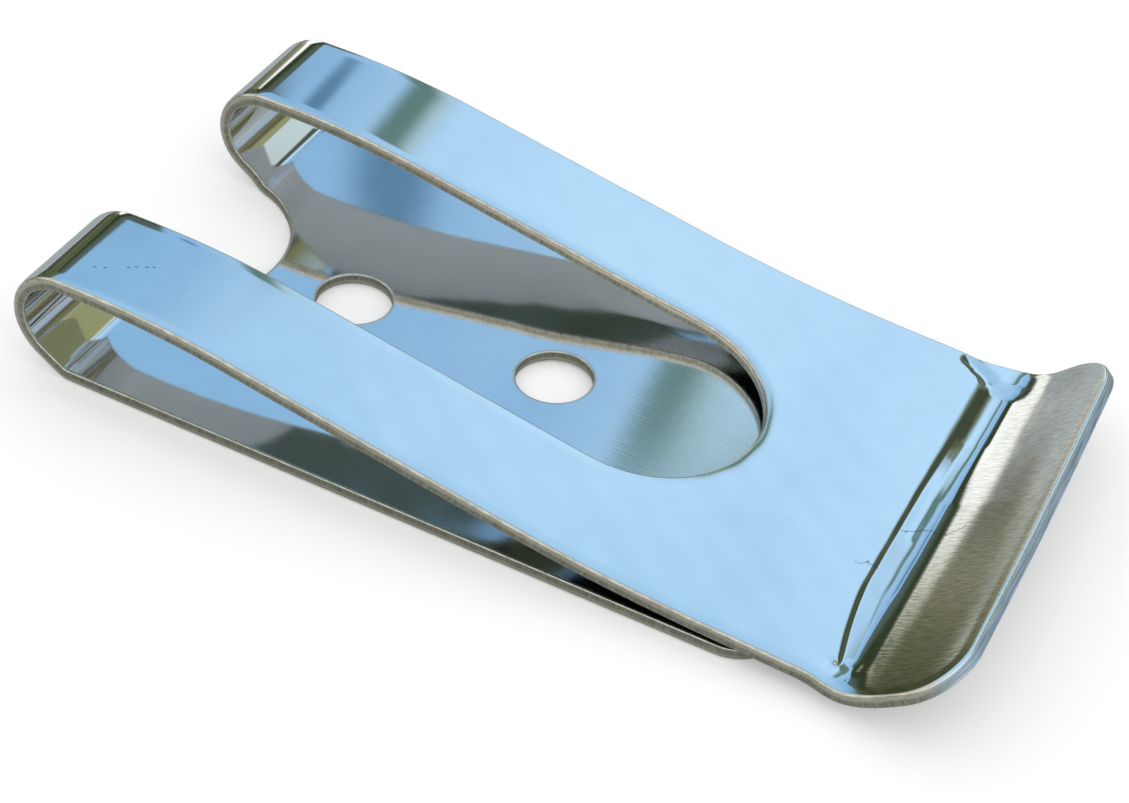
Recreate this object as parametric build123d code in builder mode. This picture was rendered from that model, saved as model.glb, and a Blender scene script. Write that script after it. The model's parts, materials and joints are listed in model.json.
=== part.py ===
from build123d import *
from math import cos, radians, sin, tan
import os

# Flat spring clip, cut and folded from one strip of spring steel, in millimetres.
# The back leaf lies flat and is fastened through its two holes. The strip folds over at -X,
# where a slot leaves two arms, and returns above as the spring leaf. The spring leaf comes down
# to the free end of the back leaf, where it grips, and ends at +X in a turned-up lip.

# The strip. All its cut edges are slightly broken by tumbling.
length = 63.7
width = 32.0
thickness = 0.9
edge_break = 0.16

# The fold, on the outside of the sheet
fold_height = 8.1
fold_radius = 3.75
heel_angle = 34.0
heel_radius = 1.6

# The back leaf, which ends short of the tip of the lip
back_leaf_setback = 11.3
back_corner_radius = 3.2

# The spring leaf: a crown after the fold, a straight ramp, and a knee where it levels out.
# The crown is placed from the fold, and the knee from the tip of the lip.
crown_reach = 10.5
crown_radius = 60.0
knee_setback = 22.7
knee_rise = 0.61
knee_radius = 110.0
grip_gap = 0.14

# The pressed step and the channel in front of the lip
step_setback = 9.6
step_run = 0.7
step_drop = 0.2
step_radius = 1.1
channel_run = 2.5

# The lip, which turns up once at its root and a little more at its knuckle, and is a little wider
# than the strip, with a shoulder on each side
lip_width = 33.0
lip_bend_radius = 4.0
lip_angle = 34.0
lip_run = 4.3
tip_angle = 42.0
tip_bend_radius = 9.0
lip_corner_radius = 3.8
shoulder_setback = 9.3
shoulder_run = 3.0
shoulder_radius = 8.0

# The slot, which runs round the fold, by the centres of its round ends in the two leaves
slot_width = 15.4
slot_centre_setback = 26.65
notch_centre_reach = 1.6

# The two holes for rivets or screws
hole_diameter = 5.1
hole_spacing = 15.0
first_hole_reach = 15.6

# Places along the clip
fold_x = -length / 2
tip_x = length / 2
back_end_x = tip_x - back_leaf_setback
slot_end_x = tip_x - slot_centre_setback + slot_width / 2
holes_x = fold_x + first_hole_reach + hole_spacing / 2

# Heights of the fold's centre, and of the spring leaf's top face at the back leaf's free end
fold_centre_height = fold_height - fold_radius
grip_height = 2 * thickness + grip_gap


def heel_x():
    """Where the back leaf turns up, so that the outside of the fold lies at fold_x."""
    angle = radians(heel_angle)
    run = (fold_centre_height - fold_radius * cos(angle)) / sin(angle)
    return fold_x + fold_radius * (1 - sin(angle)) + run * cos(angle)


def back_points():
    """Corners of the outside line along the back leaf and up round the fold."""
    back_end = (back_end_x, 0)
    heel = (heel_x(), 0)
    fold = (heel_x() - fold_height / tan(radians(heel_angle)), fold_height)
    return [back_end, heel, fold]


def leaf_points():
    """Corners of the outside line along the spring leaf, from the crown to the channel."""
    crown = (fold_x + crown_reach, fold_height)
    knee = (tip_x - knee_setback, grip_height + knee_rise)
    slope = knee_rise / (knee_setback - back_leaf_setback)
    step = (tip_x - step_setback, grip_height - slope * (back_leaf_setback - step_setback))
    channel = (step[0] + step_run, step[1] - step_drop)
    return [crown, knee, step, channel]


def lip_points(channel):
    """Corners of the outside line along the lip, up to its tip."""
    root = (channel[0] + channel_run, channel[1])
    knuckle = (root[0] + lip_run, root[1] + lip_run * tan(radians(lip_angle)))
    angle = radians(tip_angle)
    lost_to_edge_break = edge_break * min(cos(angle), sin(angle))
    edge_x = tip_x - thickness * sin(angle) + lost_to_edge_break
    edge = (edge_x, knuckle[1] + (edge_x - knuckle[0]) * tan(angle))
    return [root, knuckle, edge]


def side_points():
    """Corners of the strip's side at +Y, seen from above, with the shoulder to the lip."""
    shoulder_x = tip_x - shoulder_setback
    lip_x = shoulder_x + shoulder_run
    return [(fold_x, width / 2), (shoulder_x, width / 2), (lip_x, lip_width / 2), (tip_x, lip_width / 2)]


def slot_outline(centre_reach):
    """Slot that comes in past the fold, with its round end centred at this distance from it."""
    with Locations((centre_reach, 0)):
        Circle(slot_width / 2)
        Rectangle(length, slot_width, align=(Align.MAX, Align.CENTER))


def is_rim(edge):
    """True where a broad face of the sheet meets a cut face, which is at an angle."""
    faces = [face for face in spring_clip.faces() if any(edge.is_same(other) for other in face.edges())]
    normals = [face.normal_at(edge @ 0.5) for face in faces]
    return len(normals) == 2 and normals[0].get_angle(normals[1]) > 45


# The outside line of the folded sheet and the radius at each of its bends
leaf_line = leaf_points()
outside_line = back_points() + leaf_line + lip_points(leaf_line[-1])
bend_radii = [
    heel_radius,
    fold_radius,
    crown_radius,
    knee_radius,
    step_radius,
    step_radius,
    lip_bend_radius,
    tip_bend_radius,
]

# A plane that passes between the leaves, from the middle of the fold to the end of the slot
between_leaves = Plane(
    origin=(fold_x, 0, fold_centre_height),
    x_dir=(slot_end_x - fold_x, 0, thickness + grip_gap / 2 - fold_centre_height),
    z_dir=(fold_centre_height - thickness - grip_gap / 2, 0, slot_end_x - fold_x),
)

with BuildPart() as spring_clip:
    # The folded sheet
    with BuildSketch(Plane.XZ) as section:
        with BuildLine() as outside:
            FilletPolyline(*outside_line, radius=bend_radii)
            offset(amount=thickness, side=Side.LEFT)
        make_face()
    extrude(amount=lip_width / 2, both=True)

    # The strip's sides, which widen to the lip
    with BuildSketch() as sides:
        with BuildLine() as side:
            FilletPolyline(*side_points(), radius=shoulder_radius)
            Polyline((tip_x, lip_width / 2), (tip_x, lip_width), (fold_x, lip_width), (fold_x, width / 2))
        make_face()
        mirror(about=Plane.XZ)
    extrude(amount=fold_height, mode=Mode.SUBTRACT)

    # The slot, up through the spring leaf and down through the back leaf
    with BuildSketch(between_leaves) as leaf_slot:
        slot_outline(length - slot_centre_setback)
    extrude(amount=length, dir=(0, 0, 1), mode=Mode.SUBTRACT)
    with BuildSketch(between_leaves) as notch:
        slot_outline(notch_centre_reach)
    extrude(amount=length, dir=(0, 0, -1), mode=Mode.SUBTRACT)

    # The holes in the back leaf
    with BuildSketch() as holes:
        with Locations((holes_x, 0)):
            with GridLocations(hole_spacing, 0, 2, 1):
                Circle(hole_diameter / 2)
    extrude(amount=thickness, mode=Mode.SUBTRACT)

    # Rounded corners at both free ends
    back_end_face = spring_clip.faces().filter_by(Axis.X).sort_by(Axis.X)[-1]
    fillet(back_end_face.edges().filter_by(Axis.Z), radius=back_corner_radius)
    tip_face = spring_clip.faces().sort_by(Axis.X)[-1]
    fillet(tip_face.edges().filter_by(Axis.Y, reverse=True), radius=lip_corner_radius)

    # Broken edges all along the cut
    chamfer(spring_clip.edges().filter_by(is_rim), length=edge_break)

spring_clip.part.label = "spring_clip"

os.makedirs("parts", exist_ok=True)
export_step(spring_clip.part, "parts/spring_clip.step")
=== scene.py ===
import json
from math import atan2, cos, pi, radians, sin, tan

import bpy
import numpy as np
from mathutils import Matrix, Vector
from mathutils.geometry import delaunay_2d_cdt


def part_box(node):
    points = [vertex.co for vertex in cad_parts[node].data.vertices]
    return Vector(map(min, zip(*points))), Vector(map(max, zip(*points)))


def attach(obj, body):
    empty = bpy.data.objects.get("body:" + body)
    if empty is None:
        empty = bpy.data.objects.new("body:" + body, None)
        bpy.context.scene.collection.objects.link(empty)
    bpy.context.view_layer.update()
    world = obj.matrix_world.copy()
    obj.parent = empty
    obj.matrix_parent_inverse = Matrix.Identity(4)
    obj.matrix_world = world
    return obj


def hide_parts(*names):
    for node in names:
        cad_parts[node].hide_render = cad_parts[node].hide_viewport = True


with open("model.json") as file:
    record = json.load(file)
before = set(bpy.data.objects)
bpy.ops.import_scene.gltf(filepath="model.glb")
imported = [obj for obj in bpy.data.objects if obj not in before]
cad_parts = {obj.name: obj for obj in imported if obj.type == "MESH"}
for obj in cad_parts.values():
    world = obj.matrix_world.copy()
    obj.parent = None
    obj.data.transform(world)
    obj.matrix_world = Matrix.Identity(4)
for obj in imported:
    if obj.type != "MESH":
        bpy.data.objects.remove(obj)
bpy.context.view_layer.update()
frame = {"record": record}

# Sizes in metres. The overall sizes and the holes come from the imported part.
MM = 0.001
clip_low, clip_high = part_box("spring_clip")
HOLES = next(m for m in frame["record"]["mounts"] if m["name"] == "rivet_holes")
STRIP_HALF_WIDTH = 16.0 * MM
THICKNESS = 0.9 * MM

# The cut edges: the outside face rolls down to them, and its rim is rounder than the inside one
ROLL_WIDTH = 0.85 * MM
ROLL_DEPTH = 0.07 * MM
ROLL_LIMIT = 1.2
OUTER_RIM_RADIUS = 0.2 * MM
INNER_RIM_RADIUS = 0.09 * MM

# The fold
FOLD_RADIUS = 3.75 * MM
HEEL_ANGLE = 34.0
HEEL_RADIUS = 1.6 * MM

# The back leaf
BACK_LEAF_SETBACK = 11.3 * MM
BACK_CORNER_RADIUS = 3.2 * MM

# The spring leaf
CROWN_REACH = 10.5 * MM
CROWN_RADIUS = 60.0 * MM
KNEE_SETBACK = 22.7 * MM
KNEE_RISE = 0.61 * MM
KNEE_RADIUS = 110.0 * MM
GRIP_GAP = 0.14 * MM

# The pressed step and the channel in front of the lip. The step gets longer and the channel
# deeper towards one end, and the channel runs out near the sides.
STEP_SETBACK = 8.74 * MM
STEP_RUN = 0.38 * MM
STEP_DROP = 0.13 * MM
STEP_RADII = [1.1 * MM, 0.4 * MM]
DEEP_STEP_RUN = 1.2 * MM
DEEP_STEP_DROP = 0.40 * MM
DEEP_STEP_RADII = [2.4 * MM, 2.6 * MM]
DEEP_START = 1.8 * MM
DEEP_FADE = 6.5 * MM
CHANNEL_MIDDLE = -0.35 * MM
CHANNEL_REACH = 14.25 * MM
CHANNEL_FADE = 1.8 * MM

# The lip, whose root bends more widely where there is no channel. It starts flatter than the
# straight line from its root to its knuckle.
LIP_ANGLE = 34.0
LIP_LINE_SETBACK = 6.4 * MM
LIP_LINE_HEIGHT = 1.649 * MM
LIP_START_ANGLE = 29.0
LIP_START_SETBACK = 4.65 * MM
LIP_START_SAG = 0.17 * MM
LIP_START_RADIUS = 9.0 * MM
DEEP_LIP_START_SAG = 0.38 * MM
DEEP_PLAIN_START_RADIUS = 5.0 * MM
ROOT_RADIUS = 3.9 * MM
DEEP_ROOT_RADIUS = 2.2 * MM
PLAIN_ROOT_RADIUS = 4.8 * MM
DEEP_PLAIN_ROOT_RADIUS = 3.9 * MM
KNUCKLE_SETBACK = 2.1 * MM
TIP_ANGLE = 42.0
TIP_BEND_RADIUS = 20.0 * MM
TIP_MARGIN = 0.02 * MM
LIP_CORNER_RADIUS = 3.8 * MM
SHOULDER_SETBACK = 9.3 * MM
SHOULDER_RUN = 3.0 * MM

# The slot round the fold
SLOT_RADIUS = 7.7 * MM
SLOT_CENTRE_SETBACK = 26.65 * MM
NOTCH_CENTRE_REACH = 1.6 * MM

# How fine the mesh is: a grid that is finer along the channel and the lip's root, rows of points
# that follow each cut edge, and a gap between the last of those and the grid
GRID_STEP = 0.46 * MM
FINE_STEP = 0.08 * MM
FINE_FROM_X = 21.2 * MM
FINE_TO_X = 27.4 * MM
OUTLINE_STEP = 0.3 * MM
EDGE_ROWS = (0.42 * MM, 0.64 * MM, 0.88 * MM)
GRID_GAP = 1.1 * MM
SHOULDER_POINTS = 14
ARC_POINTS = 6
RIM_STEPS = 4

# The camera that the photograph was taken with
CAMERA_PLACE = (44.65 * MM, -108.4 * MM, 103.3 * MM)
CAMERA_NEAR_LIMIT = 5.0 * MM
CAMERA_AZIMUTH = 22.55
CAMERA_DIP = 41.55
CAMERA_ROLL = 6.34
CAMERA_FOCAL_PIXELS = 2406.0
PHOTO_WIDTH = 1129.0
SENSOR_WIDTH = 36.0


def smooth(value):
    """0 below 0, 1 above 1 and an even S between."""
    held = np.clip(value, 0.0, 1.0)
    return held * held * (3 - 2 * held)


class BentLine:
    """A line in the XZ plane with a round bend at each inner corner, measured along its length."""

    def __init__(self, corners, radii):
        starts, headings, curvatures = [corners[0]], [], []
        here = Vector(corners[0])
        lengths = []
        for before, corner, after, radius in zip(corners, corners[1:], corners[2:], radii):
            came = (Vector(corner) - Vector(before)).normalized()
            goes = (Vector(after) - Vector(corner)).normalized()
            heading = atan2(came.y, came.x)
            turn = (atan2(goes.y, goes.x) - heading + pi) % (2 * pi) - pi
            reach = radius * tan(abs(turn) / 2)
            bend_start = Vector(corner) - came * reach
            lengths += [(bend_start - here).length, radius * abs(turn)]
            headings += [heading, heading]
            curvatures += [0.0, (1 if turn > 0 else -1) / radius]
            here = Vector(corner) + goes * reach
            starts += [tuple(bend_start), tuple(here)]
        last = Vector(corners[-1]) - here
        lengths.append(last.length)
        headings.append(atan2(last.y, last.x))
        curvatures.append(0.0)
        self.start_point = np.array(starts)
        self.heading = np.array(headings)
        self.curvature = np.array(curvatures)
        self.start = np.concatenate([[0.0], np.cumsum(lengths)[:-1]])
        self.length = float(sum(lengths))

    def at(self, along):
        """Points and headings at these lengths along the line."""
        piece = np.clip(np.searchsorted(self.start, along, side="right") - 1, 0, len(self.start) - 1)
        run = along - self.start[piece]
        first, bend = self.heading[piece], self.curvature[piece]
        heading = first + bend * run
        straight = np.abs(bend) < 1e-9
        safe = np.where(straight, 1.0, bend)
        across = np.where(straight, run * np.cos(first), (np.sin(heading) - np.sin(first)) / safe)
        up = np.where(straight, run * np.sin(first), (np.cos(first) - np.cos(heading)) / safe)
        return self.start_point[piece] + np.stack([across, up], axis=-1), heading


def back_and_ramp():
    """Corners and radii of the outside from the back leaf's free end to the knee."""
    fold_x, tip_x, fold_height = clip_low.x, clip_high.x, clip_high.z
    heel_angle = radians(HEEL_ANGLE)
    rise = (fold_height - FOLD_RADIUS - FOLD_RADIUS * cos(heel_angle)) / sin(heel_angle)
    heel_x = fold_x + FOLD_RADIUS * (1 - sin(heel_angle)) + rise * cos(heel_angle)
    corners = [
        (tip_x - BACK_LEAF_SETBACK, 0.0),
        (heel_x, 0.0),
        (heel_x - fold_height / tan(heel_angle), fold_height),
        (fold_x + CROWN_REACH, fold_height),
        (tip_x - KNEE_SETBACK, 2 * THICKNESS + GRIP_GAP + KNEE_RISE),
    ]
    return corners, [HEEL_RADIUS, FOLD_RADIUS, CROWN_RADIUS, KNEE_RADIUS]


def lip_line_height(x):
    """Height of the lip's straight face at this X, taken on past its root."""
    return LIP_LINE_HEIGHT + (x - clip_high.x + LIP_LINE_SETBACK) * tan(radians(LIP_ANGLE))


def lip_end(sag):
    """The last three corners of the outside, at the lip's start, at the knuckle and at the tip."""
    start_x = clip_high.x - LIP_START_SETBACK
    start = (start_x, lip_line_height(start_x) - sag)
    knuckle = (clip_high.x - KNUCKLE_SETBACK, lip_line_height(clip_high.x - KNUCKLE_SETBACK))
    angle = radians(TIP_ANGLE)
    lost_to_rounding = INNER_RIM_RADIUS * (cos(angle) + sin(angle) - 1)
    edge_x = clip_high.x - THICKNESS * sin(angle) + lost_to_rounding - TIP_MARGIN
    return [start, knuckle, (edge_x, knuckle[1] + (edge_x - knuckle[0]) * tan(angle))]


LEAF_SLOPE = KNEE_RISE / (KNEE_SETBACK - BACK_LEAF_SETBACK)


def leaf_height(x):
    """Height of the levelled end of the spring leaf at this X."""
    return 2 * THICKNESS + GRIP_GAP - LEAF_SLOPE * (x - clip_high.x + BACK_LEAF_SETBACK)


def crossing(x, height, rise, lip_start):
    """Where a line from here with this rise meets the first stretch of the lip."""
    lip_rise = tan(radians(LIP_START_ANGLE))
    start_x, start_height = lip_start
    at = (height - start_height + start_x * lip_rise - x * rise) / (lip_rise - rise)
    return (at, height + (at - x) * rise)


def pressed_line(run, drop, step_radii, root_radius, sag):
    """The outside along the strip, through the step and the channel."""
    corners, radii = back_and_ramp()
    step_x = clip_high.x - STEP_SETBACK
    channel = (step_x + run, leaf_height(step_x) - drop)
    lip = lip_end(sag)
    corners += [(step_x, leaf_height(step_x)), channel, crossing(*channel, 0, lip[0])]
    radii += [*step_radii, root_radius, LIP_START_RADIUS, TIP_BEND_RADIUS]
    return BentLine(corners + lip, radii)


def plain_line(root_radius, start_radius, sag):
    """The outside along the strip's sides, which has no channel."""
    corners, radii = back_and_ramp()
    step_x = clip_high.x - STEP_SETBACK
    lip = lip_end(sag)
    root = crossing(step_x, leaf_height(step_x), -LEAF_SLOPE, lip[0])
    radii += [root_radius, start_radius, TIP_BEND_RADIUS]
    return BentLine(corners + [root] + lip, radii)


LINE = pressed_line(STEP_RUN, STEP_DROP, STEP_RADII, ROOT_RADIUS, LIP_START_SAG)
DEEP_LINE = pressed_line(
    DEEP_STEP_RUN, DEEP_STEP_DROP, DEEP_STEP_RADII, DEEP_ROOT_RADIUS, DEEP_LIP_START_SAG
)
PLAIN_LINE = plain_line(PLAIN_ROOT_RADIUS, LIP_START_RADIUS, LIP_START_SAG)
DEEP_PLAIN_LINE = plain_line(
    DEEP_PLAIN_ROOT_RADIUS, DEEP_PLAIN_START_RADIUS, DEEP_LIP_START_SAG
)


def along_leaf(x):
    """Length along the strip at which the spring leaf passes this X."""
    low, high = LINE.length / 2, LINE.length
    for _ in range(40):
        middle = (low + high) / 2
        passed = LINE.at(np.array([middle]))[0][0][0] > x
        low, high = (low, middle) if passed else (middle, high)
    return low


def along_back(x):
    """Length along the strip at which the back leaf passes this X."""
    return clip_high.x - BACK_LEAF_SETBACK - x


# Places along the flat strip
KNEE_AT = along_leaf(clip_high.x - KNEE_SETBACK)
STEP_AT = along_leaf(clip_high.x - STEP_SETBACK + STEP_RUN / 2)
ROOT_AT = along_leaf(clip_high.x - LIP_LINE_SETBACK)
SHOULDER_START = along_leaf(clip_high.x - SHOULDER_SETBACK)
SHOULDER_END = along_leaf(clip_high.x - SHOULDER_SETBACK + SHOULDER_RUN)
SLOT_FIRST = along_back(clip_low.x + NOTCH_CENTRE_REACH)
SLOT_LAST = along_leaf(clip_high.x - SLOT_CENTRE_SETBACK)
HOLE_RADIUS = HOLES["dims"]["hole_r_mm"] * MM
HOLE_SPACING = HOLES["dims"]["spacing_x_mm"] * MM
HOLE_PLACES = [along_back(HOLES["pos_m"][0] + side * HOLE_SPACING / 2) for side in (-1, 1)]


def half_width(along):
    """Half the strip's width, which grows over the shoulders to the lip's."""
    share = smooth((along - SHOULDER_START) / (SHOULDER_END - SHOULDER_START))
    return STRIP_HALF_WIDTH + (clip_high.y - STRIP_HALF_WIDTH) * share


def edge_gap(along, across):
    """Distance in the flat strip to the nearest cut edge, and below 0 outside the material."""
    from_end = np.minimum(along, LINE.length - along)
    from_side = half_width(along) - np.abs(across)
    radius = np.where(along < LINE.length / 2, BACK_CORNER_RADIUS, LIP_CORNER_RADIUS)
    in_corner = (from_end < radius) & (from_side < radius)
    from_corner = radius - np.hypot(radius - from_end, radius - from_side)
    gap = np.where(in_corner, from_corner, np.minimum(from_end, from_side))
    beside_slot = along - np.clip(along, SLOT_FIRST, SLOT_LAST)
    gap = np.minimum(gap, np.hypot(beside_slot, across) - SLOT_RADIUS)
    for place in HOLE_PLACES:
        gap = np.minimum(gap, np.hypot(along - place, across) - HOLE_RADIUS)
    return gap


# The lip stands higher at one end. The lift sets in gently past the root, which costs it some
# of its run, and grows to the tip.
LIP_LIFT = 0.6 * MM
LIP_LIFT_START = -5.0 * MM
LIP_LIFT_POWER = 1.6
LIP_LIFT_FROM_ROOT = 0.8 * MM
LIP_LIFT_EASE = 1.5 * MM
LIP_LIFT_LOST_RUN = 2.1 * MM

# The crooked step, which hooks towards the lip at one end
STEP_HOOK = 0.78 * MM
STEP_HOOK_START = -7.0 * MM
STEP_HOOK_LENGTH = 6.0 * MM
STEP_HOOK_LIMIT = 1.2
STEP_HOOK_POWER = 1.6
STEP_HOOK_HOLD = 1.6
STEP_HOOK_FADE = 1.6 * MM

# The shallow bow in the back leaf
BACK_BOW_START = 6.3 * MM
BACK_BOW_LENGTH = 20.0 * MM
BACK_BOW_HEIGHT = 0.25 * MM
BACK_BOW_HALF_WIDTH = 11.0 * MM
BACK_BOW_FADE = 3.0 * MM

# Grooves at the ends of the channel and a faint one in its floor, from one place in X and Y to
# another, in mm
GROOVES = [
    {"from": (21.9, 15.3), "to": (23.4, 14.3), "deep": 0.22, "wide": 0.36},
    {"from": (24.25, 7.5), "to": (24.3, -2.5), "deep": 0.018, "wide": 0.15},
    {"from": (23.8, -14.7), "to": (24.9, -14.1), "deep": 0.07, "wide": 0.11},
]

# Slight waves of the spring leaf: height and length in mm, phase, and lean across the strip
WAVES = [(0.006, 11.0, 0.4, 0.8), (0.004, 7.3, 2.1, -0.5), (0.003, 4.6, 4.0, 1.4)]
WAVES_START = 24.0 * MM
WAVES_RISE = 6.0 * MM
WAVES_PAST_ROOT = 1.0 * MM
WAVES_FALL = 3.0 * MM


def crooked_step(along, across):
    """How far the step lies off its plain place along the strip."""
    to_side = np.clip((STEP_HOOK_START - across) / STEP_HOOK_LENGTH, 0, STEP_HOOK_LIMIT)
    hook = STEP_HOOK * to_side ** STEP_HOOK_POWER
    return hook * smooth(STEP_HOOK_HOLD - np.abs(along - STEP_AT) / STEP_HOOK_FADE)


def groove_depth(along, across):
    """How deep the short grooves in and beside the channel are here."""
    depth = np.zeros_like(along)
    for groove in GROOVES:
        (first_x, first_y), (last_x, last_y) = groove["from"], groove["to"]
        first = np.array([along_leaf(first_x * MM), first_y * MM])
        run = np.array([along_leaf(last_x * MM), last_y * MM]) - first
        share = np.clip(((along - first[0]) * run[0] + (across - first[1]) * run[1]) / run.dot(run), 0, 1)
        gone = np.hypot(along - first[0] - share * run[0], across - first[1] - share * run[1])
        depth += groove["deep"] * MM * np.exp(-0.5 * (gone / (groove["wide"] * MM)) ** 2)
    return depth


def on_line(line, along):
    """Point and heading on a line that is stretched past the knee to the strip's length."""
    stretch = (line.length - KNEE_AT) / (LINE.length - KNEE_AT)
    past_knee = np.maximum(along - KNEE_AT, 0)
    point, heading = line.at(along - past_knee + past_knee * stretch)
    return np.concatenate([point, heading[..., None]], axis=-1)


def between_lines(first, second, share, along):
    """Point and heading between two lines, at this share of the way to the second."""
    found = on_line(first, along)
    return found + (on_line(second, along) - found) * share[..., None]


def profile(along, across):
    """Point and heading of the outside face in the XZ plane."""
    shift = crooked_step(along, across)
    deep_share = np.clip((across - DEEP_START) / DEEP_FADE, 0, 1)
    pressed = between_lines(LINE, DEEP_LINE, deep_share, along - shift)
    pressed = pressed + np.stack([shift, -LEAF_SLOPE * shift, 0 * shift], axis=-1)
    plain = between_lines(PLAIN_LINE, DEEP_PLAIN_LINE, deep_share, along)
    share = smooth((CHANNEL_REACH - np.abs(across - CHANNEL_MIDDLE)) / CHANNEL_FADE + 0.5)
    share = np.where(along > KNEE_AT, share, 0.0)
    found = plain + (pressed - plain) * share[..., None]
    return found[..., :2], found[..., 2]


def bulge(along, across):
    """How far the sheet stands out of its plain bent form."""
    past_root = np.maximum(along - ROOT_AT - LIP_LIFT_FROM_ROOT, 0)
    rise = past_root ** 2 / (past_root + LIP_LIFT_EASE) / (LINE.length - ROOT_AT - LIP_LIFT_LOST_RUN)
    far = np.clip((across - LIP_LIFT_START) / (clip_high.y - LIP_LIFT_START), 0, 1)
    out = LIP_LIFT * rise * far ** LIP_LIFT_POWER
    out = out - groove_depth(along, across)
    along_bow = np.clip((along - BACK_BOW_START) / BACK_BOW_LENGTH, 0, 1)
    bow = BACK_BOW_HEIGHT * (1 - np.cos(2 * pi * along_bow)) / 2
    out = out - bow * smooth((BACK_BOW_HALF_WIDTH - np.abs(across)) / BACK_BOW_FADE)
    on_leaf = smooth((along - SLOT_FIRST - WAVES_START) / WAVES_RISE)
    on_leaf = on_leaf * smooth((ROOT_AT + WAVES_PAST_ROOT - along) / WAVES_FALL)
    for height, length, phase, lean in WAVES:
        wave = np.sin((along + lean * across) / MM * 2 * pi / length + phase)
        out = out + height * MM * wave * on_leaf
    return out


def sheet_points(along, across, depth):
    """Points in the folded sheet, at a depth below its outside face."""
    line, heading = profile(along, across)
    inside = np.stack([np.sin(heading), -np.cos(heading)], axis=-1)
    roll = ROLL_DEPTH * np.clip(1 - edge_gap(along, across) / ROLL_WIDTH, 0, ROLL_LIMIT) ** 2
    sunk = depth - bulge(along, across) + roll * (1 - depth / THICKNESS)
    place = line + inside * sunk[..., None]
    return np.stack([place[..., 0], across, place[..., 1]], axis=-1)


def unit(vectors):
    """These vectors at length 1."""
    return vectors / np.linalg.norm(vectors, axis=-1, keepdims=True)


def sheet_directions(along, across, depth):
    """Unit vectors along the sheet, across it and out of its outside face."""
    nudge = 0.01 * MM
    forward = unit(sheet_points(along + nudge, across, depth) - sheet_points(along - nudge, across, depth))
    sideways = unit(sheet_points(along, across + nudge, depth) - sheet_points(along, across - nudge, depth))
    return forward, sideways, unit(np.cross(forward, sideways))


def arc_points(centre, radius, first, last):
    """Points of an arc in the flat strip, ends included, with angles in degrees."""
    count = max(ARC_POINTS, int(abs(radians(last - first)) * radius / OUTLINE_STEP) + 1)
    angles = np.radians(np.linspace(first, last, count + 1))
    return [(centre[0] + radius * cos(a), centre[1] + radius * sin(a)) for a in angles]


def shoulder_points(side, reverse):
    """Points of one shoulder in the flat strip."""
    places = np.linspace(SHOULDER_START, SHOULDER_END, SHOULDER_POINTS)
    points = [(place, side * float(half_width(place))) for place in places]
    return points[::-1] if reverse else points


def closed_loop(runs):
    """A closed loop of evenly spaced points, with its normals out of the material."""
    points = [point for run in runs for point in run]
    loop = []
    for here, there in zip(points, points[1:] + points[:1]):
        gap = Vector(there) - Vector(here)
        count = max(1, round(gap.length / OUTLINE_STEP))
        if gap.length > 1e-9:
            loop += [tuple(Vector(here) + gap * i / count) for i in range(count)]
    loop = np.array(loop)
    forward = unit(np.roll(loop, -1, axis=0) - np.roll(loop, 1, axis=0))
    return loop, np.stack([forward[:, 1], -forward[:, 0]], axis=1)


def strip_loop():
    """Outline of the flat strip, anticlockwise."""
    back, lip = BACK_CORNER_RADIUS, LIP_CORNER_RADIUS
    end, side, lip_side = LINE.length, STRIP_HALF_WIDTH, clip_high.y
    return closed_loop([
        arc_points((back, -side + back), back, 180, 270),
        shoulder_points(-1, False),
        arc_points((end - lip, -lip_side + lip), lip, 270, 360),
        arc_points((end - lip, lip_side - lip), lip, 0, 90),
        shoulder_points(1, True),
        arc_points((back, side - back), back, 90, 180),
    ])


def all_loops():
    """The strip's outline, and the slot's and the holes', which run clockwise."""
    slot = closed_loop([
        arc_points((SLOT_LAST, 0), SLOT_RADIUS, 90, -90),
        arc_points((SLOT_FIRST, 0), SLOT_RADIUS, 270, 90),
    ])
    holes = [closed_loop([arc_points((place, 0), HOLE_RADIUS, 360, 0)[:-1]]) for place in HOLE_PLACES]
    return [strip_loop(), slot, *holes]


def grid_points():
    """Points over the whole strip, closer together along the channel and the lip's root."""
    fine_from, fine_to = along_leaf(FINE_FROM_X), along_leaf(FINE_TO_X)
    along = np.concatenate([
        np.linspace(0, fine_from, int(fine_from / GRID_STEP), endpoint=False),
        np.linspace(fine_from, fine_to, int((fine_to - fine_from) / FINE_STEP), endpoint=False),
        np.linspace(fine_to, LINE.length, int((LINE.length - fine_to) / GRID_STEP)),
    ])
    columns = int(2 * clip_high.y / GRID_STEP)
    across = (np.arange(columns) + 0.5) * 2 * clip_high.y / columns - clip_high.y
    return np.stack(np.meshgrid(along, across, indexing="ij"), axis=-1).reshape(-1, 2)


def face_net(loops):
    """Points and triangles of one broad face in the flat strip, with the loops of its edge first.

    A triangle with all its corners on the loops lies outside the material.
    """
    points = np.concatenate([loop - outward * OUTER_RIM_RADIUS for loop, outward in loops])
    edges, loop_points = [], 0
    for loop, _ in loops:
        size = len(loop)
        edges += [(loop_points + i, loop_points + (i + 1) % size) for i in range(size)]
        loop_points += size
    for gap in EDGE_ROWS:
        points = np.concatenate([points, *[loop - outward * gap for loop, outward in loops]])
    grid = grid_points()
    points = np.concatenate([points, grid[edge_gap(grid[:, 0], grid[:, 1]) > GRID_GAP]])
    found = delaunay_2d_cdt([Vector(p) / MM for p in points], edges, [], 0, 1e-7)
    flat = np.array([tuple(p) for p in found[0]]) * MM
    triangles = np.array([t for t in found[2] if len(t) == 3])
    return flat, triangles[triangles.max(axis=1) >= loop_points]


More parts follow.
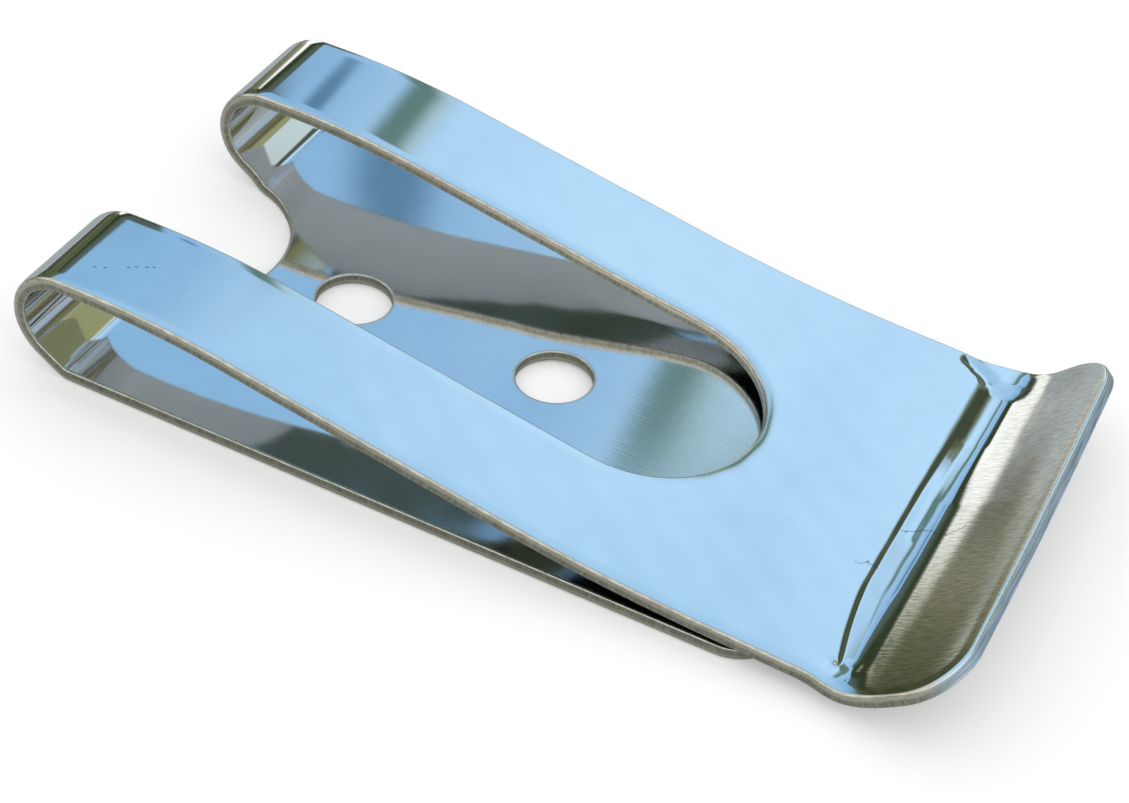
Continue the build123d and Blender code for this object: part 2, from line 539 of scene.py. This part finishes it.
def rim_rings():
    """Where each ring of the rim lies: how far out, how deep, and which way it faces."""
    big, small = OUTER_RIM_RADIUS, INNER_RIM_RADIUS
    quarter = [radians(90 * (i + 1) / RIM_STEPS) for i in range(RIM_STEPS)]
    rings = [(big * sin(angle), big * (1 - cos(angle)), angle) for angle in quarter]
    for angle in [0.0] + quarter:
        out = big - small + small * cos(angle)
        rings.append((out, THICKNESS - small * (1 - sin(angle)), pi / 2 + angle))
    return rings


# Material slots of the broad faces, the rims and the cut edge
FACE_SLOT, RIM_SLOT, CUT_SLOT = 0, 1, 2


def clip_net():
    """Places, normals, both maps of the flat sheet, faces and their slots, for the whole sheet."""
    loops = all_loops()
    flat, triangles = face_net(loops)
    count = len(flat)
    along, across = flat[:, 0], flat[:, 1]
    places = [sheet_points(along, across, 0.0), sheet_points(along, across, THICKNESS)]
    normals = [sheet_directions(along, across, 0.0)[2], -sheet_directions(along, across, THICKNESS)[2]]
    maps = {"sheet": [flat, flat], "edge": [np.zeros_like(flat), np.zeros_like(flat)]}
    faces = [tuple(t) for t in triangles]
    faces += [(t[0] + count, t[2] + count, t[1] + count) for t in triangles]
    slots = [FACE_SLOT] * len(faces)

    total, first = 2 * count, 0
    for loop, outward in loops:
        size = len(loop)
        inset = loop - outward * OUTER_RIM_RADIUS
        run = np.arange(size) * OUTLINE_STEP
        ring_ids = [np.arange(size) + first]
        for out, depth, angle in rim_rings():
            spot = inset + outward * out
            forward, sideways, _ = sheet_directions(spot[:, 0], spot[:, 1], THICKNESS)
            _, _, facing = sheet_directions(spot[:, 0], spot[:, 1], depth)
            level = outward[:, :1] * forward + outward[:, 1:] * sideways
            places.append(sheet_points(spot[:, 0], spot[:, 1], depth))
            normals.append(facing * cos(angle) + level * sin(angle))
            maps["sheet"].append(spot)
            maps["edge"].append(np.stack([run, np.full(size, depth)], axis=1))
            ring_ids.append(np.arange(size) + total)
            total += size
        ring_ids.append(np.arange(size) + count + first)
        for row, (upper, lower) in enumerate(zip(ring_ids, ring_ids[1:])):
            for i in range(size):
                j = (i + 1) % size
                faces.append((upper[i], lower[i], lower[j], upper[j]))
                slots.append(CUT_SLOT if row == RIM_STEPS else RIM_SLOT)
        first += size
    return places, normals, maps, faces, slots


def build_clip():
    """The whole folded sheet as one mesh, with exact normals and two maps of the flat sheet."""
    places, normals, maps, faces, slots = clip_net()
    mesh = bpy.data.meshes.new("folded_sheet")
    mesh.from_pydata([tuple(p) for p in np.concatenate(places)], [], faces)
    mesh.update()
    mesh.polygons.foreach_set("use_smooth", [True] * len(mesh.polygons))
    mesh.polygons.foreach_set("material_index", slots)
    corners = np.zeros(len(mesh.loops), np.int32)
    mesh.loops.foreach_get("vertex_index", corners)
    for name, places_in_map in maps.items():
        layer = mesh.uv_layers.new(name=name)
        in_mm = np.concatenate(places_in_map)[corners] / MM
        layer.data.foreach_set("uv", in_mm.astype(np.float32).ravel())
    mesh.normals_split_custom_set_from_vertices([tuple(n) for n in np.concatenate(normals)])
    piece = bpy.data.objects.new("nickel_clip", mesh)
    bpy.context.scene.collection.objects.link(piece)
    return piece


class Graph:
    """A node tree with short ways to add the nodes that the looks need."""

    def __init__(self, tree):
        """Takes a tree over and empties it."""
        self.tree = tree
        tree.nodes.clear()

    def node(self, kind, inputs=None, **settings):
        """A node with these settings, and a value or another node's output at each input."""
        made = self.tree.nodes.new(kind)
        for name, value in settings.items():
            setattr(made, name, value)
        for name, value in (inputs or {}).items():
            self.put(made.inputs[name], value)
        return made

    def put(self, socket, value):
        """Links an input to another node's output, or sets it to a value."""
        if isinstance(value, bpy.types.NodeSocket):
            self.tree.links.new(value, socket)
        else:
            socket.default_value = value

    def finish(self, output, shader):
        """Ends the tree with this kind of output."""
        self.node(output, {"Surface": shader.outputs[0]})

    def maths(self, operation, *values):
        """The result of one operation on numbers."""
        return self.node("ShaderNodeMath", dict(enumerate(values)), operation=operation).outputs[0]

    def vector(self, operation, *values, result="Vector"):
        """The result of one operation on places or colours."""
        made = self.node("ShaderNodeVectorMath", dict(enumerate(values)), operation=operation)
        return made.outputs[result]

    def product(self, *values):
        """All these numbers times each other."""
        total = values[0]
        for value in values[1:]:
            total = self.maths("MULTIPLY", total, value)
        return total

    def weighted(self, total, *parts):
        """A number plus each part, which is a number and its weight."""
        for value, weight in parts:
            total = self.maths("ADD", total, self.maths("MULTIPLY", value, weight))
        return total

    def share(self, value, first, last):
        """0 up to the first limit, 1 from the last one on, smooth between."""
        inputs = {"Value": value, "From Min": first, "From Max": last}
        return self.node("ShaderNodeMapRange", inputs, interpolation_type="SMOOTHSTEP").outputs["Result"]

    def mix(self, factor, first, second):
        """A colour between two, at this share of the way to the second."""
        values = [(*value, 1) if isinstance(value, tuple) else value for value in (factor, first, second)]
        made = self.node("ShaderNodeMix", dict(zip(("Factor", "A", "B"), values)), data_type="RGBA")
        return made.outputs["Result"]

    def ramp(self, value, stops):
        """A colour or a grey for each value, from stops of (value, colour) in order."""
        low, high = stops[0][0], stops[-1][0]
        scaled = self.maths("DIVIDE", self.maths("SUBTRACT", value, low), high - low)
        made = self.node("ShaderNodeValToRGB", {"Fac": scaled})
        elements = made.color_ramp.elements
        elements.remove(elements[-1])
        for i, (place, colour) in enumerate(stops):
            share = (place - low) / (high - low)
            element = elements[0] if i == 0 else elements.new(share)
            element.position = share
            element.color = (*colour, 1) if isinstance(colour, tuple) else (colour, colour, colour, 1)
        return made.outputs["Color"]

    def noise(self, vector, scale, detail=2.0, roughness=0.5):
        """Cloudy noise between 0 and 1."""
        inputs = {"Vector": vector, "Scale": scale, "Detail": detail, "Roughness": roughness}
        return self.node("ShaderNodeTexNoise", inputs).outputs["Fac"]

    def streaks(self, vector, scales, detail=2.0, roughness=0.5):
        """Noise that is drawn out where the scale of an axis is small."""
        return self.noise(self.vector("MULTIPLY", vector, scales), 1.0, detail, roughness)

    def bump(self, height, distance):
        """Normals of a surface that is this uneven."""
        inputs = {"Height": height, "Strength": 1.0, "Distance": distance}
        return self.node("ShaderNodeBump", inputs).outputs["Normal"]

    def sheet_map(self, name):
        """Places in one map of the flat sheet, in mm, and their two coordinates."""
        places = self.node("ShaderNodeUVMap", uv_map=name).outputs["UV"]
        axes = self.node("ShaderNodeSeparateXYZ", {0: places}).outputs
        return places, axes["X"], axes["Y"]

    def azimuth(self, axes):
        """Degrees from +Y towards +X."""
        return self.maths("DEGREES", self.maths("ARCTAN2", axes["X"], axes["Y"]))

    def metal(self, colour, roughness, normal=None):
        """Ends a material's tree with bare metal."""
        inputs = {"Base Color": colour, "Metallic": 1.0, "Roughness": roughness}
        if normal is not None:
            inputs["Normal"] = normal
        self.finish("ShaderNodeOutputMaterial", self.node("ShaderNodeBsdfPrincipled", inputs))


def new_material(name):
    """A material and its empty node tree."""
    material = bpy.data.materials.new(name)
    material.use_nodes = True
    return material, Graph(material.node_tree)


# Colours of the metal, with pairs from darker to lighter places, and how uneven it is
PLATE_SHADES = ((0.75, 0.76, 0.77), (0.77, 0.78, 0.79))
PLATE_UNEVENNESS = 0.0007 * MM
LIP_SHADES = ((0.60, 0.60, 0.58), (0.80, 0.80, 0.78))
# Painted reflection on the lip's root: darker olive towards one side, where the dark trees show in the
# metal
LIP_ROOT_PAINTED_REFLECTION = ((0.62, 0.62, 0.50), (1.0, 1.0, 1.0))
# Painted light at the lip's tip: darker olive towards one side as painted reflection, and lifted above the
# metal's own colour towards the other as a painted highlight
LIP_TIP_PAINTED_REFLECTION_AND_HIGHLIGHT = ((0.78, 0.78, 0.67), (1.2, 1.2, 1.2))
MARK_COLOUR = (0.10, 0.13, 0.17)
RIM_SHADES = ((0.60, 0.54, 0.44), (0.84, 0.79, 0.69))
# Painted highlight: the rim at the lip's tip is near white
RIM_AT_TIP_PAINTED_HIGHLIGHT = (0.92, 0.93, 0.91)
SHEARED_SHADES = ((0.60, 0.55, 0.44), (0.76, 0.70, 0.58))
TORN_SHADES = ((0.30, 0.28, 0.21), (0.52, 0.48, 0.38))
# Painted sky reflection: the cut end at the lip's tip is streaked bluish
CUT_AT_TIP_PAINTED_SKY_REFLECTION = ((0.36, 0.44, 0.52), (0.66, 0.74, 0.82))
CUT_UNEVENNESS = 0.02 * MM

# The lip's root and its tip along the flat strip in mm
ROOT_MM = ROOT_AT / MM
TIP_MM = LINE.length / MM

# Marks in the face, as lines of places in the flat strip in mm: hairlines and a row of specks.
# A mark is darkest over its core, which is a share of its width.
MARK_STRENGTH = 0.75
MARK_CORE = 0.4
HAIRLINE_HALF_WIDTH = 0.055
HAIRLINE_WOBBLE = (0.7, 0.7, 0.0)
WOBBLE_SCALE = 2.2
SPECK_HALF_WIDTH = 0.075
SPECK_RUN = (0.12, 0.03)
HAIRLINES = [
    [(111.4, -6.3), (112.1, -5.75)],
    [(112.15, -5.9), (112.7, -5.8)],
    [(112.9, -2.1), (114.2, -1.2)],
    [(114.2, -1.2), (115.6, -1.5)],
    [(115.6, -1.5), (116.7, -0.1)],
]
SPECKS = [
    (61.6, -13.6), (62.15, -13.3), (63.35, -12.5), (63.75, -12.2), (64.3, -11.85), (64.65, -11.6),
]

# How the lip's colour is scaled by distance across it in mm: darker olive towards one side as painted
# reflection, darker in its middle, and lifted above its own colour towards the other side as a painted
# highlight
LIP_TONE_AND_PAINTED_LIGHT_ACROSS = [
    (-17, (0.62, 0.62, 0.50)),
    (-12, (0.72, 0.72, 0.60)),
    (-8, (0.86, 0.86, 0.75)),
    (-4, (0.76, 0.76, 0.69)),
    (0, (0.53, 0.53, 0.49)),
    (5, (0.57, 0.57, 0.55)),
    (8, (0.84, 0.84, 0.81)),
    (12, (1.12, 1.12, 1.12)),
    (14.5, (0.95, 0.95, 0.95)),
    (17, (0.95, 0.95, 0.95)),
]


def near_line(graph, place, first, last, half_width):
    """1 on the line between two places, 0 away from it."""
    run = Vector(last) - Vector(first)
    offset = graph.vector("SUBTRACT", place, (*first, 0.0))
    scaled = (run.x / run.length_squared, run.y / run.length_squared, 0.0)
    share = graph.vector("DOT_PRODUCT", offset, scaled, result="Value")
    held = graph.node("ShaderNodeClamp", {"Value": share}).outputs[0]
    on_line = graph.node("ShaderNodeVectorMath", {0: (run.x, run.y, 0.0), "Scale": held}, operation="SCALE")
    gone = graph.vector("DISTANCE", offset, on_line.outputs["Vector"], result="Value")
    return graph.share(gone, half_width, half_width * MARK_CORE)


def marks(graph, sheet):
    """1 in the hairlines, which wander a little, and in the specks, 0 elsewhere."""
    wobble = graph.node("ShaderNodeTexNoise", {"Vector": sheet, "Scale": WOBBLE_SCALE}).outputs["Color"]
    shift = graph.vector("SUBTRACT", wobble, (0.5, 0.5, 0.5))
    bent = graph.vector("ADD", sheet, graph.vector("MULTIPLY", shift, HAIRLINE_WOBBLE))
    total = 0.0
    for first, last in HAIRLINES:
        total = graph.maths("MAXIMUM", total, near_line(graph, bent, first, last, HAIRLINE_HALF_WIDTH))
    for along, across in SPECKS:
        end = (along + SPECK_RUN[0], across + SPECK_RUN[1])
        spot = near_line(graph, sheet, (along, across), end, SPECK_HALF_WIDTH)
        total = graph.maths("MAXIMUM", total, spot)
    return total


def make_plate():
    """Bright nickel, faintly brushed along the strip, and coarser and duller on the lip, whose colour also
    carries painted reflection, darker olive towards one side, and a painted highlight towards the other.
    """
    material, graph = new_material("nickel_plate")
    sheet, along, across = graph.sheet_map("sheet")
    on_lip = graph.share(along, ROOT_MM - 0.2, ROOT_MM + 1.1)
    on_back = graph.share(along, 26, 20)

    brushed = graph.streaks(sheet, (0.5, 6.0, 1.0), detail=3.0, roughness=0.6)
    worn = graph.streaks(sheet, (1.3, 5.0, 1.0), detail=4.0, roughness=0.65)
    cloudy = graph.noise(sheet, 0.35, detail=3.0)
    coarse = graph.weighted(0.0, (on_lip, 6.0), (on_back, 3.0))
    height = graph.weighted(brushed, (worn, coarse))

    # Painted reflection: the lip's root is darkened olive towards one side
    lip_tone_and_painted_light = graph.mix(graph.share(across, -15, 6), *LIP_ROOT_PAINTED_REFLECTION)
    past_root = graph.share(along, ROOT_MM + 1.5, ROOT_MM + 2.8)
    # Past the root: darker in the middle, with painted reflection and a painted highlight towards the sides
    lip_tone_and_painted_light = graph.mix(past_root, lip_tone_and_painted_light, graph.ramp(across, LIP_TONE_AND_PAINTED_LIGHT_ACROSS))
    at_tip = graph.share(along, TIP_MM - 3.2, TIP_MM - 1.2)
    # Painted reflection and painted highlight at the lip's tip
    lip_tone_and_painted_light = graph.mix(at_tip, lip_tone_and_painted_light, graph.mix(graph.share(across, -11, 7), *LIP_TIP_PAINTED_REFLECTION_AND_HIGHLIGHT))
    grain = graph.mix(graph.share(worn, 0.36, 0.62), *LIP_SHADES)
    shade = graph.mix(graph.share(cloudy, 0.35, 0.65), *PLATE_SHADES)
    shade = graph.mix(on_lip, shade, graph.vector("MULTIPLY", grain, lip_tone_and_painted_light))
    shade = graph.mix(graph.product(marks(graph, sheet), MARK_STRENGTH), shade, MARK_COLOUR)

    rough = graph.weighted(0.045, (brushed, 0.04), (on_lip, 0.06), (on_back, 0.02))
    graph.metal(shade, rough, graph.bump(height, PLATE_UNEVENNESS))
    return material


def make_rim():
    """The rounded rims, worn a little creamy, and near white at the lip's tip as a painted highlight."""
    material, graph = new_material("rim_nickel")
    edge, _, _ = graph.sheet_map("edge")
    _, along, _ = graph.sheet_map("sheet")
    worn = graph.streaks(edge, (1.4, 4.0, 1.0), detail=4.0, roughness=0.6)
    shade = graph.mix(graph.share(worn, 0.35, 0.65), *RIM_SHADES)
    # Painted highlight on the rim at the lip's tip
    shade = graph.mix(graph.share(along, TIP_MM - 2.5, TIP_MM - 0.5), shade, RIM_AT_TIP_PAINTED_HIGHLIGHT)
    graph.metal(shade, graph.weighted(0.22, (worn, 0.12)))
    return material


def make_cut():
    """The sheared edge: a smoother band under the outer rim and a rough, streaked one below it, and a
    painted bluish sky reflection on the end at the lip's tip.
    """
    material, graph = new_material("cut_edge")
    edge, _, depth = graph.sheet_map("edge")
    _, along, _ = graph.sheet_map("sheet")
    streaks = graph.streaks(edge, (7.0, 0.8, 1.0), detail=4.0, roughness=0.6)
    patches = graph.streaks(edge, (0.7, 2.0, 1.0), detail=3.0)
    lines = graph.streaks(edge, (0.3, 7.0, 1.0))
    torn = graph.share(graph.weighted(depth, (patches, 0.3)), 0.45, 0.65)
    smooth_band = graph.mix(streaks, *SHEARED_SHADES)
    torn_band = graph.mix(graph.share(streaks, 0.3, 0.7), *TORN_SHADES)
    # Painted sky reflection on the cut end at the lip's tip
    painted_sky_reflection = graph.mix(graph.share(lines, 0.35, 0.65), *CUT_AT_TIP_PAINTED_SKY_REFLECTION)
    shade = graph.mix(torn, smooth_band, torn_band)
    shade = graph.mix(graph.share(along, TIP_MM - 2.5, TIP_MM - 0.5), shade, painted_sky_reflection)
    graph.metal(shade, graph.weighted(0.32, (torn, 0.2)), graph.bump(streaks, CUT_UNEVENNESS))
    return material


clip = build_clip()
for made in (make_plate(), make_rim(), make_cut()):
    clip.data.materials.append(made)
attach(clip, "root")
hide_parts("spring_clip")


def make_camera():
    """The camera at the photographer's place."""
    data = bpy.data.cameras.new("camera")
    data.sensor_width = SENSOR_WIDTH
    data.lens = CAMERA_FOCAL_PIXELS / PHOTO_WIDTH * SENSOR_WIDTH
    data.clip_start = CAMERA_NEAR_LIMIT
    camera = bpy.data.objects.new("camera", data)
    turn = Matrix.Rotation(radians(CAMERA_AZIMUTH), 4, "Z")
    dip = Matrix.Rotation(radians(90 - CAMERA_DIP), 4, "X")
    roll = Matrix.Rotation(radians(CAMERA_ROLL), 4, "Z")
    camera.matrix_world = Matrix.Translation(CAMERA_PLACE) @ turn @ dip @ roll
    bpy.context.scene.collection.objects.link(camera)
    bpy.context.scene.camera = camera


# The floor. The metal reflects it as an even grey near the clip, and farther off by the degrees
# of azimuth from +Y towards +X.
FLOOR_HALF_SIZE = 3.0
FLOOR_GLOW = 0.24
FLOOR_COLOUR = (0.82, 0.82, 0.82)
FLOOR_IN_METAL = (0.42, 0.47, 0.48)
FLOOR_EVEN_TO = 45.0 * MM
FLOOR_BY_AZIMUTH_FROM = 70.0 * MM
FLOOR_BY_AZIMUTH = [
    (-60, FLOOR_IN_METAL),
    (-51, FLOOR_IN_METAL),
    (-48, (0.15, 0.16, 0.10)),
    (-46, (0.17, 0.175, 0.11)),
    (-44, (0.32, 0.32, 0.25)),
    (-42.5, (0.52, 0.55, 0.53)),
    (-30, FLOOR_IN_METAL),
]


def make_floor():
    """A plain pale floor, which the metal reflects as a darker grey."""
    half = FLOOR_HALF_SIZE
    corners = [(-half, -half, 0), (half, -half, 0), (half, half, 0), (-half, half, 0)]
    mesh = bpy.data.meshes.new("floor")
    mesh.from_pydata(corners, [], [(0, 1, 2, 3)])
    floor = bpy.data.objects.new("floor", mesh)
    bpy.context.scene.collection.objects.link(floor)
    material, graph = new_material("floor")
    place = graph.node("ShaderNodeNewGeometry").outputs["Position"]
    axes = graph.node("ShaderNodeSeparateXYZ", {0: place}).outputs
    around = graph.ramp(graph.azimuth(axes), FLOOR_BY_AZIMUTH)
    distance = graph.vector("LENGTH", place, result="Value")
    far_off = graph.share(distance, FLOOR_EVEN_TO, FLOOR_BY_AZIMUTH_FROM)
    in_metal = graph.mix(far_off, FLOOR_IN_METAL, around)
    path = graph.node("ShaderNodeLightPath").outputs
    colour = graph.mix(path["Is Glossy Ray"], FLOOR_COLOUR, in_metal)
    diffuse = graph.node("ShaderNodeBsdfDiffuse", {"Color": colour})
    strength = graph.product(path["Is Camera Ray"], FLOOR_GLOW)
    glow = graph.node("ShaderNodeEmission", {"Color": (1, 1, 1, 1), "Strength": strength})
    both = graph.node("ShaderNodeAddShader", {0: diffuse.outputs[0], 1: glow.outputs[0]})
    graph.finish("ShaderNodeOutputMaterial", both)
    mesh.materials.append(material)


# What the metal reflects, by degrees of azimuth from +Y towards +X and by degrees of elevation.
# The sky has one colour by azimuth, and others higher up and overhead.
HIGH_SKY = (0.46, 0.77, 1.07)
TOP_SKY = (0.42, 0.60, 0.88)
SKY_BY_AZIMUTH = [
    (-180, (0.95, 0.93, 0.84)),
    (-120, (0.95, 0.93, 0.86)),
    (-75, (0.55, 0.72, 0.90)),
    (-50, (0.30, 0.58, 0.88)),
    (-35, (0.31, 0.59, 0.90)),
    (-27, (0.34, 0.61, 0.92)),
    (-20, (0.44, 0.72, 1.00)),
    (-12, (0.52, 0.83, 1.12)),
    (-6, (0.60, 0.92, 1.21)),
    (4, (0.62, 0.94, 1.23)),
    (30, (0.60, 0.90, 1.18)),
    (60, (0.62, 0.86, 1.05)),
    (100, (0.90, 0.92, 0.90)),
    (180, (0.95, 0.93, 0.84)),
]

# Where the sky starts over the trees, in degrees of elevation, and how far the treetops stray
SKYLINE = [
    (-180, 10), (-90, 14), (-62, 30), (-52, 35), (-47, 33), (-42, 34), (-36, 37), (-31.5, 37),
    (-31.1, 33), (-29.5, 27), (-16, 16), (0, 13), (4, 24), (9, 41), (28, 49), (46, 47), (60, 20),
    (110, 10), (180, 10),
]
SKYLINE_LIMIT = 60.0
TREETOP_STRAY = 5.0

# The trees: pairs of colours from their shaded to their lit leaves, and single ones
LEAVES = ((0.045, 0.070, 0.035), (0.17, 0.185, 0.10))
BROWN_LEAVES = ((0.11, 0.115, 0.055), (0.22, 0.21, 0.12))
HIGH_LEAVES = ((0.055, 0.075, 0.045), (0.13, 0.15, 0.10))
GREEN_LEAVES = (0.27, 0.33, 0.20)
UNDERGROWTH = (0.03, 0.04, 0.035)
HAZE = (0.42, 0.52, 0.62)

# The tall tree, which leans above its bend, and the dark patch
TREE_AZIMUTH = -17.8
TREE_BEND = 41.0
TREE_LEAN = -0.35
FLANK_COLOUR = (0.47, 0.64, 0.62)
TRUNK_COLOUR = (0.12, 0.23, 0.20)
PATCH_AZIMUTH = -28.3
PATCH_ELEVATION = 36.6
PATCH_WIDTH = 1.25
PATCH_HEIGHT = 2.1
PATCH_COLOUR = (0.11, 0.25, 0.40)
FRINGE_COLOUR = (0.16, 0.26, 0.27)

# The clearing, whose foot is lit by azimuth, and whose lower side is slanted
CLEARING_AZIMUTH = -42.0
CLEARING_SLANT = 2.5
CLEARING_SHADES = ((0.035, 0.055, 0.02), (1.25, 1.28, 1.24))
CLEARING_TOP = (0.10, 0.14, 0.12)

# The bright line at the horizon, which is broken in one place
HORIZON_COLOUR = (0.9, 0.9, 0.86)
HORIZON_BREAK = -46.5

# Pale sky over the trees on the right, by azimuth
PALE_SKY = [
    (20, (0.70, 0.84, 0.86)),
    (29.5, (0.70, 0.84, 0.86)),
    (31, (0.36, 0.38, 0.19)),
    (43, (0.36, 0.38, 0.19)),
    (45.5, (0.42, 0.44, 0.33)),
    (60, (0.42, 0.44, 0.33)),
]

# The light at the foot of the clearing, by azimuth
LOW_LIGHT = [
    (-60, (0.08, 0.09, 0.05)),
    (-48, (0.12, 0.13, 0.07)),
    (-46, (0.158, 0.165, 0.096)),
    (-44.7, (0.244, 0.235, 0.152)),
    (-43.9, (0.34, 0.335, 0.244)),
    (-43.2, (0.40, 0.40, 0.355)),
    (-40.5, (0.43, 0.45, 0.42)),
    (-38.5, (0.13, 0.15, 0.13)),
    (-30, (0.11, 0.13, 0.11)),
]


def make_woods(graph, direction, azimuth, elevation):
    """Dark trees, a clearing on the left that is bright at its foot, and haze low on the right."""
    leaves = graph.share(graph.noise(direction, 14.0, detail=5.0, roughness=0.65), 0.35, 0.65)
    trees = graph.mix(leaves, *LEAVES)
    trees = graph.mix(graph.share(azimuth, 12, 24), trees, graph.mix(leaves, *BROWN_LEAVES))
    greener = graph.mix(graph.share(azimuth, 10, 17), GREEN_LEAVES, graph.mix(leaves, *HIGH_LEAVES))
    high_up = graph.product(graph.share(elevation, 28, 34), graph.share(azimuth, 31, 26))
    trees = graph.mix(high_up, trees, greener)
    trees = graph.mix(graph.share(elevation, 1, 8), UNDERGROWTH, trees)

    gap = graph.product(graph.share(azimuth, -45.0, -42.8), graph.share(elevation, 20, 16.5))
    bright = graph.mix(gap, *CLEARING_SHADES)
    bright = graph.mix(graph.share(elevation, 24, 31), bright, CLEARING_TOP)
    from_middle = graph.maths("SUBTRACT", azimuth, CLEARING_AZIMUTH)
    slanted = graph.weighted(elevation, (from_middle, CLEARING_SLANT))
    clearing = graph.mix(graph.share(slanted, 5.0, 9.0), graph.ramp(azimuth, LOW_LIGHT), bright)
    in_clearing = graph.product(graph.share(azimuth, -49.5, -46.5), graph.share(azimuth, -26, -30))
    woods = graph.mix(in_clearing, trees, clearing)
    haze = graph.product(graph.share(azimuth, 26, 32), graph.share(elevation, 17, 11))
    return graph.mix(haze, woods, HAZE)


def add_tall_trees(graph, outdoors, azimuth, elevation):
    """A tall tree with a pale flank, a far one that shows as a soft dark patch, and a dim fringe."""
    above_bend = graph.maths("MAXIMUM", graph.maths("SUBTRACT", elevation, TREE_BEND), 0.0)
    upright = graph.maths("SUBTRACT", azimuth, TREE_AZIMUTH)
    from_tree = graph.weighted(upright, (above_bend, TREE_LEAN))
    low_enough = graph.share(elevation, 48, 42)
    flank = graph.product(graph.share(from_tree, -0.5, 1.5), graph.share(from_tree, 6.0, 2.5))
    outdoors = graph.mix(graph.product(flank, low_enough, 0.7), outdoors, FLANK_COLOUR)
    trunk = graph.share(graph.maths("ABSOLUTE", from_tree), 3.6, 0.8)
    outdoors = graph.mix(graph.product(trunk, low_enough, 0.95), outdoors, TRUNK_COLOUR)

    across = graph.maths("DIVIDE", graph.maths("SUBTRACT", azimuth, PATCH_AZIMUTH), PATCH_WIDTH)
    up = graph.maths("DIVIDE", graph.maths("SUBTRACT", elevation, PATCH_ELEVATION), PATCH_HEIGHT)
    squares = [graph.maths("POWER", value, 2.0) for value in (across, up)]
    from_patch = graph.maths("SQRT", graph.maths("ADD", *squares))
    outdoors = graph.mix(graph.share(from_patch, 1.45, 0.45), outdoors, PATCH_COLOUR)

    fringe = graph.product(graph.share(azimuth, 0, 10), graph.share(azimuth, 15, 11), 0.5, low_enough)
    return graph.mix(fringe, outdoors, FRINGE_COLOUR)


def add_pale_sky(graph, outdoors, azimuth, elevation):
    """A pale stretch of sky over the trees on the right."""
    beside = graph.product(graph.share(azimuth, 25.5, 28), graph.share(azimuth, 62, 50))
    pale = graph.product(beside, graph.share(elevation, 26, 31))
    return graph.mix(pale, outdoors, graph.ramp(azimuth, PALE_SKY))


def add_horizon(graph, outdoors, azimuth, elevation):
    """A bright line at the horizon and the grey ground under it."""
    line = graph.share(graph.maths("ABSOLUTE", elevation), 0.8, 0.4)
    from_break = graph.maths("ABSOLUTE", graph.maths("SUBTRACT", azimuth, HORIZON_BREAK))
    line = graph.product(line, graph.share(from_break, 1.5, 4.0))
    outdoors = graph.mix(line, outdoors, HORIZON_COLOUR)
    return graph.mix(graph.share(elevation, -0.4, -0.8), outdoors, FLOOR_IN_METAL)


def make_world():
    """White to the camera and to soft light, and an outdoor scene to what the metal reflects."""
    world = bpy.data.worlds.new("surroundings")
    bpy.context.scene.world = world
    world.use_nodes = True
    graph = Graph(world.node_tree)
    direction = graph.node("ShaderNodeTexCoord").outputs["Generated"]
    axes = graph.node("ShaderNodeSeparateXYZ", {0: direction}).outputs
    elevation = graph.maths("DEGREES", graph.maths("ARCSINE", axes["Z"]))
    azimuth = graph.azimuth(axes)

    sky = graph.ramp(azimuth, SKY_BY_AZIMUTH)
    sky = graph.mix(graph.product(graph.share(elevation, 42, 54), 0.75), sky, HIGH_SKY)
    sky = graph.mix(graph.share(elevation, 54, 88), sky, TOP_SKY)
    skyline = graph.ramp(azimuth, [(place, height / SKYLINE_LIMIT) for place, height in SKYLINE])
    stray = graph.maths("SUBTRACT", graph.noise(direction, 22.0, detail=3.0), 0.5)
    treetops = graph.weighted(0.0, (skyline, SKYLINE_LIMIT), (stray, TREETOP_STRAY))
    over = graph.share(graph.maths("SUBTRACT", elevation, treetops), -1.2, 1.2)
    outdoors = graph.mix(over, make_woods(graph, direction, azimuth, elevation), sky)
    for add_more in (add_tall_trees, add_pale_sky, add_horizon):
        outdoors = add_more(graph, outdoors, azimuth, elevation)

    path = graph.node("ShaderNodeLightPath").outputs
    colour = graph.mix(path["Is Glossy Ray"], (1.0, 1.0, 1.0), outdoors)
    graph.finish("ShaderNodeOutputWorld", graph.node("ShaderNodeBackground", {"Color": colour}))


make_floor()
make_world()
make_camera()
bpy.context.scene.view_settings.view_transform = "Standard"
